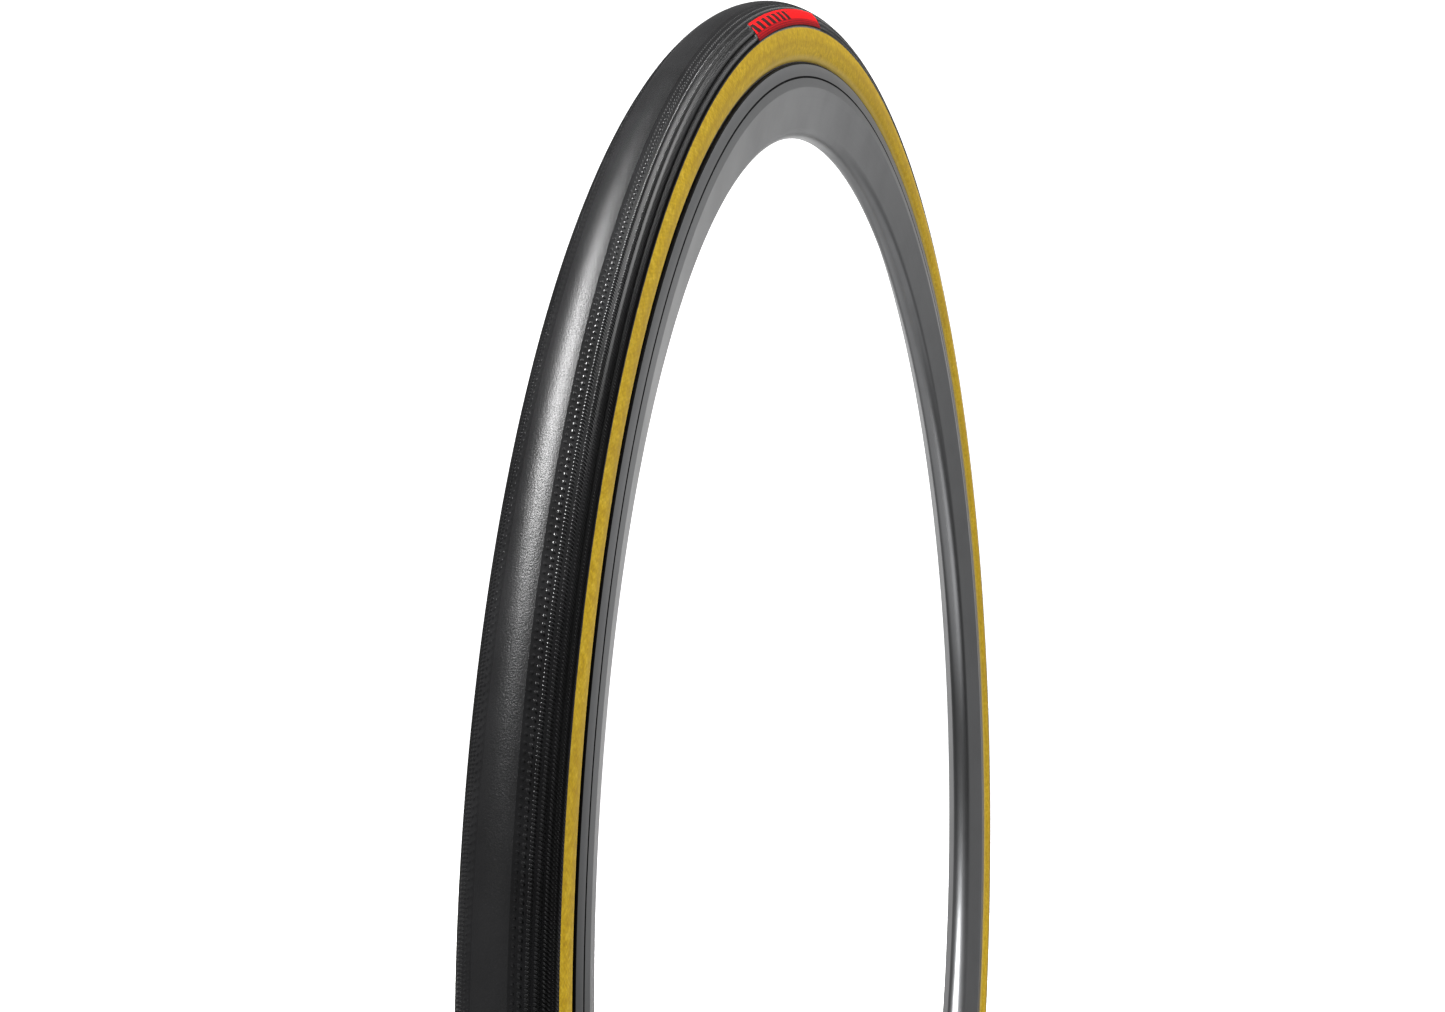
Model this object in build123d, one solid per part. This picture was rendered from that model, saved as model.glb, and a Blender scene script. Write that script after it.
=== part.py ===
from build123d import *
import math
import os

# Clincher bicycle tyre, 700 x 25 (ETRTO 622), mounted and inflated on a bare aluminium rim.
# Millimetres. The origin is the wheel's centre. The wheel axis is Y, +Z is up.
# The valve is at the bottom and points up at the centre.
# A section is drawn with X as the radius and Y as the distance from the wheel's middle plane,
# and is then turned about Y.

# ---------------------------------------------------------------- driving dimensions
TYRE_R = 337.5                # wheel centre to the crown of the tread
SECTION_R = 12.63             # radius of the inflated section, over the tread
TREAD_EDGE_ANGLE = 80.7       # from the crown to the edge of the tread
TREAD_BEVEL_ANGLE = 77.5      # where the tread starts to thin to its edge
CASING_R = 12.40              # radius of the cotton casing's outer circle
CASING_CENTRE = 323.60        # wheel centre to the centre of that circle
PLY_T = 0.40                  # one layer of rubbered cotton
BELT_T = 0.25                 # puncture belt
BELT_ANGLE = 50.0             # half of the arc that the belt covers
CHAFER_T = 0.25               # rim strip that guards the bead
CHAFER_TOP_R = 315.5          # the strip shows just above the rim's flange
WAIST_TOP_R = 315.07          # the casing leaves its circle here and runs in to the bead
WAIST_R = 313.75              # the casing's narrowest place, between the hooks of the rim
WAIST_BASE_R = 312.70
WAIST_SPREAD = 0.10           # the waist widens by this much towards its base
WAIST_GAP = 0.15              # play between the tyre and a hook
HEEL_TOP_R = 312.20
HEEL_CHAMFER = 0.35
BEAD_TOP_R = 313.60           # top of the bead core
BEAD_IN_W = 5.85              # inner side of the bead core, from the middle plane
BEAD_CORNER_R = 0.45
TOE_W = 5.50                  # the toes of both beads stop here, from the middle plane
HEEL_W = 8.25                 # outer side of the bead, from the middle plane
BEAD_BASE_R = 311.10          # underside of the bead, just on the rim's bead seat

RIM_TOP_R = 314.60            # top of the flange
RIM_HALF_W = 10.20            # across the brake tracks, half
RIM_INNER_HALF_W = 8.50       # between the flanges, half
HOOK_HALF_W = 8.00            # between the hooks, half
HOOK_R = 313.35               # middle of the hook
RIM_CHAMFER = 0.45            # outer corner of the flange
GROOVE_R = 309.40             # wear line in the middle of the brake track
GROOVE_W = 0.50
GROOVE_DEPTH = 0.40
TRACK_END_R = 305.80          # inner edge of the brake track
NOSE_CENTRE = 293.22          # centre of the rounded inner edge
NOSE_R = 5.44
NOSE_WALL = 1.70
SEAT_R = 310.95               # bead seat, half of the 622 mm standard less the fit
SEAT_IN_W = 6.40              # inner end of the bead seat
SEAT_FALL = 0.15              # the seat drops by this much towards the well
WELL_R = 307.40               # floor of the well
WELL_HALF_W = 4.60
CAVITY_TOP_R = 305.95
CAVITY_SHOULDER_R = 309.00
SLEEVE_ANGLE = 12.0           # arc of the insert that joins the ends of the rim
SLEEVE_GAP = 0.10
SLEEVE_T = 1.30

TAPE_T = 0.50
TAPE_HALF_W = 4.50
TAPE_HOLE_GAP = 0.15          # round the valve stem
TUBE_T = 0.60
TUBE_GAP = 0.06
TUBE_WAIST_GAP = 0.65         # from the beads' toes
TUBE_HIP_R = 316.20           # the tube widens from here, above the beads
TUBE_HIP_W = 6.90
STEM_FIT = 0.02               # the tube and its patch are moulded round the stem

LABEL_T = 0.12
LABEL_FROM = 107.6            # angle about the wheel, from +X towards +Z
LABEL_TO = 123.3
LABEL_IN_ANGLE = 46.0         # from the crown
LABEL_OUT_ANGLE = 77.0

VALVE_R = 3.00                # stem thread, over the crests
VALVE_HOLE_R = 3.25
NECK_R = 2.60                 # pump thread at the top of the stem
BORE_R = 1.20
CORE_SEAT_R = 1.95
CORE_R = 1.93
PIN_R = 0.90
RUN_GAP = 0.05                # running clearance on the radius
FOOT_Z = -310.70              # underside of the stem's foot
FOOT_T = 0.80
FOOT_R = 4.10
LAND_Z = -275.00              # the stem's main thread ends here, under a plain land
LAND_R = 2.80
SHOULDER_Z = -270.00          # top of the land
NECK_TOP_Z = -264.00
CORE_TOP_Z = -261.00
CORE_BASE_Z = -275.00
CORE_BORE_Z = -284.00
PIN_BASE_Z = -278.00
PIN_TOP_Z = -254.60
PIN_HEAD_R = 1.30
PIN_HEAD_H = 0.90
PIN_CHAMFER = 0.25
PIN_SEAL_R = 1.60             # rubber that closes the foot of the core
SEAL_GAP = 0.05
CORE_HEAD_R = 2.30
CORE_FLATS = 3.60             # across the flats that a core key grips
GASKET_BORE_R = 1.50
GASKET_Z = -271.50
GASKET_H = 1.50
TIP_NUT_Z = -258.60
TIP_NUT_H = 2.40
TIP_NUT_R = 2.10
TIP_NUT_KNURLS = 16
TIP_NUT_KNURL_DEPTH = 0.22
WASHER_Z = -287.70
WASHER_T = 0.70
WASHER_R = 6.50
WASHER_BORE_R = 3.08
RIM_NUT_R = 6.00
RIM_NUT_H = 3.60
RIM_NUT_KNURLS = 28
RIM_NUT_KNURL_DEPTH = 0.35
NUT_GAP = 0.05                # between the washer and the nut
CAP_Z = -269.90
CAP_TOP_Z = -252.30
CAP_R = 3.60
CAP_ROUND = 1.20
CAP_BORE_TOP_Z = -253.80
PATCH_T = 1.20
PATCH_HALF_L = 21.0
PATCH_HALF_W = 3.75

SECTION_CENTRE = TYRE_R - SECTION_R
THROUGH = 60.0                # long enough for any cut along the valve
DRILL_Z = -320.0              # where those cuts start, inside the air chamber


# ---------------------------------------------------------------- helpers
def save(node, shape):
    """Name one sub-part and write it as STEP."""
    shape.label = node
    export_step(shape, f"parts/{node}.step")


def circle_half_width(centre, radius, r):
    """Half width of a section circle at the wheel radius r."""
    return math.sqrt(radius ** 2 - (r - centre) ** 2)


def ring(section):
    """Turn a section right round the wheel axis."""
    return revolve(section, axis=Axis.Y)


def arc_piece(section, start, end):
    """Turn a section part of the way round the wheel; angles run from +X towards +Z."""
    return revolve(Rotation(0, -end, 0) * section, axis=Axis.Y, revolution_arc=end - start)


def polygon(points):
    return make_face(Polyline(*points, close=True))


def disc(radius, z, height):
    """A round bar along +Z that starts at z."""
    return Pos(0, 0, z) * Cylinder(radius, height, align=(Align.CENTER, Align.CENTER, Align.MIN))


def tube_z(outer, inner, z, height):
    return disc(outer, z, height) - disc(inner, z - 1, height + 2)


def drilling(radius):
    """A drill along the valve, through everything at the bottom of the wheel but the tread."""
    return disc(radius, DRILL_Z, THROUGH)


def circle_band(centre, outer, inner, half_angle):
    """A section strip between two arcs about (centre, 0), open towards the wheel's centre."""
    a = math.radians(half_angle)

    def point(radius, angle):
        return (centre + radius * math.cos(angle), radius * math.sin(angle))

    outside = ThreePointArc(point(outer, -a), point(outer, 0), point(outer, a))
    inside = ThreePointArc(point(inner, a), point(inner, 0), point(inner, -a))
    return make_face([outside, Line(outside @ 1, inside @ 0), inside, Line(inside @ 1, outside @ 0)])


# ---------------------------------------------------------------- sections of the tyre
def carcass(depth):
    """The casing's outline with its mouth closed, moved in by depth."""
    radius = CASING_R - depth
    join_w = circle_half_width(CASING_CENTRE, CASING_R, WAIST_TOP_R) - depth
    join_r = CASING_CENTRE - math.sqrt(radius ** 2 - join_w ** 2)
    arc = ThreePointArc((join_r, -join_w), (CASING_CENTRE + radius, 0), (join_r, join_w))
    waist_w = HOOK_HALF_W - WAIST_GAP - CHAFER_T - depth
    heel_w = HEEL_W - CHAFER_T - depth
    bottom = BEAD_BASE_R + CHAFER_T + depth
    half = [
        (join_r, join_w),
        (WAIST_R, waist_w),
        (WAIST_BASE_R, waist_w + WAIST_SPREAD),
        (HEEL_TOP_R, heel_w),
        (bottom + HEEL_CHAMFER, heel_w),
        (bottom, heel_w - HEEL_CHAMFER),
    ]
    mirrored = [(r, -w) for r, w in reversed(half)]
    sides = Polyline(*half, *mirrored)
    return make_face([arc, sides])


def mouth():
    """The gap between the two beads, down to below the tyre."""
    return Pos(313.0, 0) * Rectangle(12.0, 2 * TOE_W)


def bead_pocket(side):
    """Section of one bead core: a rounded block in the corner of the outer ply."""
    inside = carcass(PLY_T)
    block = Pos(BEAD_TOP_R - 5.0, side * (BEAD_IN_W + 5.0)) * Rectangle(10.0, 10.0)
    return (inside & block).face()


def tread_section():
    """The rubber cap: a crescent over the casing, hollowed under the crown for the belt."""
    edge = math.radians(TREAD_EDGE_ANGLE)
    bevel = math.radians(TREAD_BEVEL_ANGLE)

    def on_outer(angle, side):
        return (SECTION_CENTRE + SECTION_R * math.cos(angle), side * SECTION_R * math.sin(angle))

    edge_r = SECTION_CENTRE + SECTION_R * math.cos(edge)
    edge_w = circle_half_width(CASING_CENTRE, CASING_R, edge_r)
    top = ThreePointArc(on_outer(bevel, -1), (TYRE_R, 0), on_outer(bevel, 1))
    under = ThreePointArc((edge_r, edge_w), (CASING_CENTRE + CASING_R, 0), (edge_r, -edge_w))
    section = make_face([top, Line(top @ 1, under @ 0), under, Line(under @ 1, top @ 0)])
    belt = circle_band(CASING_CENTRE, CASING_R + BELT_T, CASING_R - 1.0, BELT_ANGLE)
    return section - belt


def rim_outline():
    """Outside of the rim: flanges with hooks, bead seats, well, brake tracks and nose."""
    slope = math.atan2(RIM_HALF_W, TRACK_END_R - NOSE_CENTRE)
    reach = math.hypot(RIM_HALF_W, TRACK_END_R - NOSE_CENTRE)
    angle = slope + math.acos(NOSE_R / reach)
    tangent = (NOSE_CENTRE + NOSE_R * math.cos(angle), NOSE_R * math.sin(angle))
    side = [
        (WELL_R, WELL_HALF_W),
        (SEAT_R - SEAT_FALL, SEAT_IN_W),
        (SEAT_R, HOOK_HALF_W + 0.1),
        (SEAT_R + 0.4, RIM_INNER_HALF_W),
        (HOOK_R - 0.75, RIM_INNER_HALF_W),
        (HOOK_R - 0.25, HOOK_HALF_W),
        (HOOK_R + 0.25, HOOK_HALF_W),
        (HOOK_R + 0.75, HOOK_HALF_W + 0.35),
        (RIM_TOP_R, HOOK_HALF_W + 1.15),
        (RIM_TOP_R, RIM_HALF_W - RIM_CHAMFER),
        (RIM_TOP_R - RIM_CHAMFER, RIM_HALF_W),
        (GROOVE_R + GROOVE_W / 2, RIM_HALF_W),
        (GROOVE_R + GROOVE_W / 2, RIM_HALF_W - GROOVE_DEPTH),
        (GROOVE_R - GROOVE_W / 2, RIM_HALF_W - GROOVE_DEPTH),
        (GROOVE_R - GROOVE_W / 2, RIM_HALF_W),
        (TRACK_END_R, RIM_HALF_W),
        tangent,
    ]
    mirrored = [(r, -w) for r, w in side]
    nose = ThreePointArc(tangent, (NOSE_CENTRE - NOSE_R, 0), mirrored[-1])
    upper = Polyline(*side)
    lower = Polyline(*reversed(mirrored))
    floor = Line(mirrored[0], side[0])
    return make_face([floor, upper, nose, lower])


def rim_cavity(shrink=0.0):
    """Inside of the rim's box section, made smaller all round by shrink."""
    radius = NOSE_R - NOSE_WALL - shrink
    wall_w = RIM_INNER_HALF_W - shrink
    start_r = TRACK_END_R - 0.2
    reach = math.hypot(wall_w, start_r - NOSE_CENTRE)
    angle = math.atan2(wall_w, start_r - NOSE_CENTRE) + math.acos(radius / reach)
    tangent = (NOSE_CENTRE + radius * math.cos(angle), radius * math.sin(angle))
    side = [
        (CAVITY_TOP_R - shrink, WELL_HALF_W - 0.45),
        (CAVITY_SHOULDER_R - shrink, SEAT_IN_W + 0.25),
        (CAVITY_SHOULDER_R - shrink, wall_w - 0.35),
        (start_r, wall_w),
        tangent,
    ]
    mirrored = [(r, -w) for r, w in side]
    nose = ThreePointArc(tangent, (NOSE_CENTRE - radius, 0), mirrored[-1])
    return make_face([
        Line(mirrored[0], side[0]),
        Polyline(*side),
        nose,
        Polyline(*reversed(mirrored)),
    ])


def valve_hole():
    """The hole through both walls of the rim, at the bottom of the wheel."""
    return drilling(VALVE_HOLE_R)


# ---------------------------------------------------------------- tyre
def make_tyre():
    save("tread", ring(tread_section()))
    belt = circle_band(CASING_CENTRE, CASING_R + BELT_T, CASING_R, BELT_ANGLE)
    save("puncture_belt", ring(belt))

    outer = carcass(0.0) - carcass(PLY_T) - mouth()
    save("casing_outer_ply", ring(outer))

    cores = {side: bead_pocket(side) for side in (1, -1)}
    hollow = carcass(PLY_T) - cores[1] - cores[-1]
    inner = hollow - offset(hollow, amount=-PLY_T, kind=Kind.INTERSECTION) - mouth()
    save("casing_inner_ply", ring(inner))

    for side, name in ((-1, "left"), (1, "right")):
        core = cores[side]
        core = fillet(core.vertices().filter_by(lambda v: v.X > BEAD_TOP_R - 0.1), BEAD_CORNER_R)
        save(f"bead_core_{name}", ring(core))
        keep = Pos(CHAFER_TOP_R - 10.0, side * 10.0) * Rectangle(20.0, 20.0)
        strip = (carcass(-CHAFER_T) - carcass(0.0) - mouth()) & keep
        save(f"rim_strip_{name}", ring(strip))


def make_labels():
    """A thin patch on each shoulder of the tread, near the top of the wheel."""
    middle = (LABEL_IN_ANGLE + LABEL_OUT_ANGLE) / 2
    half = (LABEL_OUT_ANGLE - LABEL_IN_ANGLE) / 2
    band = circle_band(0, SECTION_R + LABEL_T, SECTION_R, half)
    for side, name in ((-1, "left"), (1, "right")):
        section = Pos(SECTION_CENTRE, 0) * (Rotation(0, 0, side * middle) * band)
        save(f"label_{name}", arc_piece(section, LABEL_FROM, LABEL_TO))


# ---------------------------------------------------------------- tube, tape and rim
def make_tube_and_tape():
    tape = Pos(WELL_R + TAPE_T / 2, 0) * Rectangle(TAPE_T, 2 * TAPE_HALF_W)
    save("rim_tape", ring(tape) - drilling(VALVE_R + TAPE_HOLE_GAP))

    casing_bore = CASING_R - 2 * PLY_T - TUBE_GAP
    well_floor = WELL_R + TAPE_T + TUBE_GAP
    waist = TOE_W - TUBE_WAIST_GAP
    round_part = Pos(CASING_CENTRE, 0) * Circle(casing_bore)
    half = [
        (well_floor, waist - 0.5),
        (well_floor + 1.5, waist),
        (TUBE_HIP_R - 1.0, waist),
        (TUBE_HIP_R, TUBE_HIP_W),
        (TUBE_HIP_R + 3.8, TUBE_HIP_W),
    ]
    mirrored = [(r, -w) for r, w in reversed(half)]
    bed = polygon(half + mirrored)
    tube_outline = round_part - Pos(309.0, 0) * Rectangle(14.0, 40.0) + bed
    tube_bore = offset(tube_outline, amount=-TUBE_T, kind=Kind.INTERSECTION)
    stem_hole = drilling(VALVE_R + STEM_FIT)
    save("inner_tube", ring(tube_outline - tube_bore) - stem_hole)

    patch_r = well_floor + TUBE_T + STEM_FIT
    strip = ring(Pos(patch_r + PATCH_T / 2, 0) * Rectangle(PATCH_T, 2 * PATCH_HALF_W))
    oval = Pos(0, 0, DRILL_Z) * extrude(Ellipse(PATCH_HALF_L, PATCH_HALF_W), THROUGH)
    save("valve_patch", (strip & oval) - stem_hole)


def make_rim():
    save("rim", ring(rim_outline() - rim_cavity()) - valve_hole())
    liner = rim_cavity(SLEEVE_GAP) - rim_cavity(SLEEVE_GAP + SLEEVE_T)
    save("rim_joint_sleeve", arc_piece(liner, 90.0 - SLEEVE_ANGLE / 2, 90.0 + SLEEVE_ANGLE / 2))


# ---------------------------------------------------------------- valve
def make_stem():
    stem = disc(FOOT_R, FOOT_Z, FOOT_T) + disc(VALVE_R, FOOT_Z, LAND_Z - FOOT_Z)
    stem += disc(LAND_R, LAND_Z, SHOULDER_Z - LAND_Z)
    stem += disc(NECK_R, SHOULDER_Z, NECK_TOP_Z - SHOULDER_Z)
    stem -= disc(BORE_R, FOOT_Z - 1, THROUGH)
    stem -= disc(CORE_SEAT_R, CORE_BORE_Z, THROUGH)
    save("valve_stem", stem)


def make_core():
    body = disc(CORE_R, CORE_BASE_Z, NECK_TOP_Z - CORE_BASE_Z)
    body -= tube_z(CORE_R + 1, GASKET_BORE_R, GASKET_Z, GASKET_H)
    middle = Pos(0, 0, (NECK_TOP_Z + CORE_TOP_Z) / 2)
    flats = disc(CORE_HEAD_R, NECK_TOP_Z, CORE_TOP_Z - NECK_TOP_Z)
    flats &= middle * Box(CORE_FLATS, 10.0, 10.0)
    body = body + flats - disc(PIN_R + RUN_GAP, CORE_BASE_Z - 1, THROUGH)
    save("valve_core", body)
    save("core_gasket", tube_z(CORE_R, GASKET_BORE_R, GASKET_Z, GASKET_H))

    pin = disc(PIN_R, PIN_BASE_Z, PIN_TOP_Z - PIN_BASE_Z)
    pin += disc(PIN_HEAD_R, PIN_BASE_Z, PIN_HEAD_H)
    save("valve_pin", chamfer(pin.edges().sort_by(Axis.Z)[-1], PIN_CHAMFER))
    seal_z = PIN_BASE_Z + PIN_HEAD_H
    save("pin_seal", tube_z(PIN_SEAL_R, PIN_R, seal_z, CORE_BASE_Z - SEAL_GAP - seal_z))


def knurled(radius, z, height, teeth, depth):
    """A round nut body with upright V grooves."""
    body = disc(radius, z, height)
    half = math.pi * radius / teeth * 0.5
    notch = polygon([(radius + 0.1, half), (radius + 0.1, -half), (radius - depth, 0)])
    groove = extrude(notch, height)
    for i in range(teeth):
        body -= Rotation(0, 0, i * 360.0 / teeth) * (Pos(0, 0, z) * groove)
    return body


def make_valve_hardware():
    tip = knurled(TIP_NUT_R, TIP_NUT_Z, TIP_NUT_H, TIP_NUT_KNURLS, TIP_NUT_KNURL_DEPTH)
    save("tip_nut", tip - disc(PIN_R + RUN_GAP, TIP_NUT_Z - 1, THROUGH))

    save("nut_washer", tube_z(WASHER_R, WASHER_BORE_R, WASHER_Z, WASHER_T))
    nut_z = WASHER_Z + WASHER_T + NUT_GAP
    nut = knurled(RIM_NUT_R, nut_z, RIM_NUT_H, RIM_NUT_KNURLS, RIM_NUT_KNURL_DEPTH)
    save("rim_nut", nut - disc(VALVE_R + RUN_GAP, nut_z - 1, THROUGH))

    cap = disc(CAP_R, CAP_Z, CAP_TOP_Z - CAP_Z)
    cap = fillet(cap.faces().sort_by(Axis.Z)[-1].edges(), CAP_ROUND)
    cap -= disc(NECK_R + RUN_GAP, CAP_Z - 1, CAP_BORE_TOP_Z - CAP_Z + 1)
    save("valve_cap", cap)


os.makedirs("parts", exist_ok=True)
make_tyre()
make_labels()
make_tube_and_tape()
make_rim()
make_stem()
make_core()
make_valve_hardware()
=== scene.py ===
"""Visual model of a 700 x 25 clincher tyre, mounted on a bare aluminium rim.

Metres, in the part's own frame: origin at the wheel's centre, wheel axis along Y, +Z up,
the valve at the bottom. "Left" is the -Y side. Ring sections are pairs (radius, y), and
angles round the wheel run from +X towards +Z.
"""

import math

import bmesh
import bpy
import numpy as np
from mathutils import Matrix, Vector


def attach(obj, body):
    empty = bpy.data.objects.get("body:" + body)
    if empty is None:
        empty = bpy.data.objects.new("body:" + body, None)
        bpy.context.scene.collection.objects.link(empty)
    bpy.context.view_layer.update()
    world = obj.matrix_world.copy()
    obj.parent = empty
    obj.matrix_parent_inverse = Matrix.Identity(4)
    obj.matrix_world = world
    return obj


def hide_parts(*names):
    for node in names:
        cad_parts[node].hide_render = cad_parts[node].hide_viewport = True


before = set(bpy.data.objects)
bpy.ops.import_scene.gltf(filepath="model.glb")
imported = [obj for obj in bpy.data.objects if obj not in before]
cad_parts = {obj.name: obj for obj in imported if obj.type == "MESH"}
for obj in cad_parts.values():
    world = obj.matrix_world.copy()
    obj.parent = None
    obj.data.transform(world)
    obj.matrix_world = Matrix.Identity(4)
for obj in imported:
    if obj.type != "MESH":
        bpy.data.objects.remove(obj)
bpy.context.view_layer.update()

MM = 0.001

# ---------------- sizes, as in the part
TYRE_R = 337.5 * MM
SECTION_R = 12.63 * MM
SECTION_CENTRE = TYRE_R - SECTION_R
TREAD_EDGE_ANGLE = 80.7
CASING_R = 12.40 * MM
CASING_CENTRE = 323.60 * MM
PLY_T = 0.40 * MM
BELT_T = 0.25 * MM
BELT_ANGLE = 50.0
CHAFER_T = 0.25 * MM
CHAFER_TOP_R = 315.5 * MM
WAIST_TOP_R = 315.07 * MM
WAIST_R = 313.75 * MM
WAIST_BASE_R = 312.70 * MM
HEEL_TOP_R = 312.20 * MM
HEEL_HALF_W = 8.25 * MM
TOE_HALF_W = 5.50 * MM
BEAD_BASE_R = 311.10 * MM

RIM_TOP_R = 314.60 * MM
RIM_HALF_W = 10.20 * MM
RIM_INNER_HALF_W = 8.50 * MM
HOOK_HALF_W = 8.00 * MM
HOOK_R = 313.35 * MM
GROOVE_R = 309.40 * MM
GROOVE_HALF = 0.25 * MM
GROOVE_DEPTH = 0.40 * MM
TRACK_END_R = 305.80 * MM
NOSE_CENTRE = 293.22 * MM
NOSE_R = 5.44 * MM
NOSE_WALL = 1.70 * MM
SEAT_R = 310.95 * MM
SEAT_IN_W = 6.40 * MM
WELL_R = 307.40 * MM
WELL_HALF_W = 4.60 * MM
CAVITY_TOP_R = 305.95 * MM
CAVITY_SHOULDER_R = 309.00 * MM
VALVE_HOLE_R = 3.25 * MM

LABEL_T = 0.12 * MM
LABEL_SINK = 0.02 * MM        # the label's back lies this far in the rubber
LABEL_FROM = 107.6
LABEL_TO = 123.3
LABEL_IN_ANGLE = 46.0
LABEL_OUT_ANGLE = 77.0

VALVE_R = 3.00 * MM
LAND_R = 2.80 * MM
NECK_R = 2.60 * MM
CORE_SEAT_R = 1.95 * MM
FOOT_Z = -310.70 * MM
FOOT_R = 4.10 * MM
FOOT_T = 0.80 * MM
THREAD_BASE_Z = -308.50 * MM
CORE_BORE_R = 1.20 * MM
CORE_BORE_Z = -284.00 * MM
LAND_Z = -275.00 * MM
SHOULDER_Z = -270.00 * MM
NECK_TOP_Z = -264.00 * MM
STEM_PITCH = 0.80 * MM
STEM_THREAD_DEPTH = 0.42 * MM
NECK_PITCH = 1.06 * MM
NECK_THREAD_DEPTH = 0.38 * MM
STEPS_PER_PITCH = 8           # rings of points in one turn of a thread
CAP_Z = -269.90 * MM
CAP_TOP_Z = -252.30 * MM
CAP_R = 3.60 * MM
CAP_BORE_R = 2.65 * MM
CAP_BORE_TOP_Z = -253.80 * MM
CAP_DOME = 1.60 * MM
CAP_RIBS = 16
CAP_RIB_DEPTH = 0.22 * MM

SEGMENTS = 1092               # pattern repeats round the tyre, 12 x 91
# keeps the casing under the exporter's limit of faces
CASING_SEGMENTS = 640         # a coarser ring, for fewer faces on the casing
RIM_SEGMENTS = 728


# ---------------- mesh helpers
def new_object(name, verts, faces, material):
    """A mesh object from an array of points and a list of face groups, each an index array."""
    mesh = bpy.data.meshes.new(name)
    verts = np.asarray(verts, np.float32)
    groups = [np.asarray(f, np.int32) for f in faces if len(f)]
    loops = np.concatenate([g.ravel() for g in groups])
    sizes = np.concatenate([np.full(len(g), g.shape[1], np.int32) for g in groups])
    starts = np.concatenate([[0], np.cumsum(sizes)[:-1]]).astype(np.int32)
    mesh.vertices.add(len(verts))
    mesh.vertices.foreach_set("co", verts.ravel())
    mesh.loops.add(len(loops))
    mesh.loops.foreach_set("vertex_index", loops)
    mesh.polygons.add(len(sizes))
    mesh.polygons.foreach_set("loop_start", starts)
    mesh.update(calc_edges=True)
    mesh.validate()
    mesh.shade_smooth()
    obj = bpy.data.objects.new(name, mesh)
    bpy.context.scene.collection.objects.link(obj)
    mesh.materials.append(material)
    return obj


def on_wheel(theta, r, y):
    """Points at angle theta (radians) round the wheel, radius r and width y."""
    return np.stack([r * np.cos(theta), y + 0 * theta, r * np.sin(theta)], -1)


def ring_mesh(name, section, material, segments=SEGMENTS, sharp=25.0):
    """Turn a closed section right round the wheel axis."""
    sec = np.array(section, float)
    n = len(sec)
    theta = np.arange(segments) * (2 * math.pi / segments)
    verts = on_wheel(theta[:, None], sec[None, :, 0], sec[None, :, 1]).reshape(-1, 3)
    i = np.arange(segments)[:, None]
    j = np.arange(n)[None, :]
    i2 = (i + 1) % segments
    j2 = (j + 1) % n
    quads = np.stack([i * n + j, i * n + j2, i2 * n + j2, i2 * n + j], -1).reshape(-1, 4)
    obj = new_object(name, verts, [outward(sec, quads)], material)
    obj.data.set_sharp_from_angle(angle=math.radians(sharp))
    return obj


def outward(section, quads):
    """Turn the faces of a ring outward, whichever way round its section runs."""
    x, y = section[:, 0], section[:, 1]
    area = 0.5 * np.sum(x * np.roll(y, -1) - np.roll(x, -1) * y)
    return quads[:, ::-1] if area < 0 else quads


def mirror(half):
    """The left half of a section, from its right half."""
    return [(r, -y) for r, y in reversed(half)]


def arc(centre, radius, start, end, steps):
    """Section points on a circle about (centre, 0); angles from the outward direction."""
    points = []
    for i in range(steps + 1):
        a = math.radians(start + (end - start) * i / steps)
        points.append((centre + radius * math.cos(a), radius * math.sin(a)))
    return points


# ---------------- shader helpers
class Nodes:
    """Short hand for building a node tree."""

    def __init__(self, tree):
        self.nodes, self.links = tree.nodes, tree.links

    def put(self, socket, value):
        if isinstance(value, bpy.types.NodeSocket):
            self.links.new(value, socket)
        else:
            socket.default_value = value

    def node(self, kind, **inputs):
        """A new node, with the named inputs set or linked."""
        node = self.nodes.new(f"ShaderNode{kind}")
        for name, value in inputs.items():
            self.put(node.inputs[name.replace("_", " ")], value)
        return node

    def fill(self, node, *values):
        """Give a node's first inputs these values or links; returns its first output."""
        for socket, value in zip(node.inputs, values):
            self.put(socket, value)
        return node.outputs[0]

    def math(self, operation, *values, clamp=False):
        node = self.node("Math")
        node.operation = operation
        node.use_clamp = clamp
        return self.fill(node, *values)

    def add(self, a, b):
        return self.math("ADD", a, b)

    def sub(self, a, b, clamp=False):
        return self.math("SUBTRACT", a, b, clamp=clamp)

    def mul(self, a, b, clamp=False):
        return self.math("MULTIPLY", a, b, clamp=clamp)

    def above(self, a, b):
        return self.math("GREATER_THAN", a, b)

    def vector_math(self, operation, a, b):
        node = self.node("VectorMath")
        node.operation = operation
        return self.fill(node, a, b)

    def smooth_ramp(self, source, low, high, stops):
        """Map a value in [low, high] through (place, level) stops given in the same units."""
        scale = self.node("MapRange", From_Min=low, From_Max=high, Value=source)
        ramp = self.node("ValToRGB", Fac=scale.outputs[0])
        ramp.color_ramp.interpolation = "EASE"
        while len(ramp.color_ramp.elements) < len(stops):
            ramp.color_ramp.elements.new(0.5)
        for element, (place, level) in zip(ramp.color_ramp.elements, stops):
            element.position = (place - low) / (high - low)
            element.color = (level, level, level, 1.0)
        return ramp.outputs["Color"]


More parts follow.
